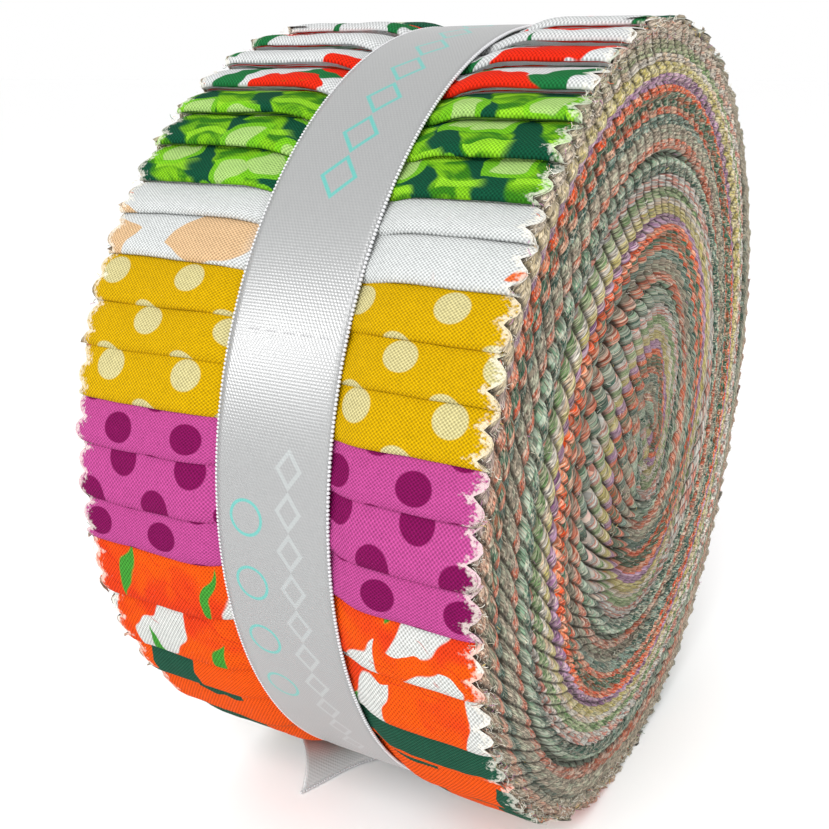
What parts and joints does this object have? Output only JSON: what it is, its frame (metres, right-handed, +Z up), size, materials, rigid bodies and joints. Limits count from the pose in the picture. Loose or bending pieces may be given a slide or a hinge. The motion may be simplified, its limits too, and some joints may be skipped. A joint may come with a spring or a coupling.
{
  "type": "fabric strip roll",
  "caption": "Bundle of narrow pinked cotton strips, each folded and wound into one roll so that the folds step round the outside, tied round the middle with a satin ribbon.",
  "frame": {"origin": "on the resting surface, under the middle of the roll", "axes": "+X along the roll's axis, towards the end face that shows in the picture; -Y is the front; +Z up"},
  "size_m": [0.0636, 0.1268, 0.1259],
  "materials": {
    "printed_cotton": "plain-woven printed cotton with pinked edges",
    "satin_ribbon": "white single-face satin, ribbed across its width"
  },
  "bodies": {
    "root": {"strip_roll": "printed_cotton", "ribbon": "satin_ribbon"}
  },
  "joints": []
}
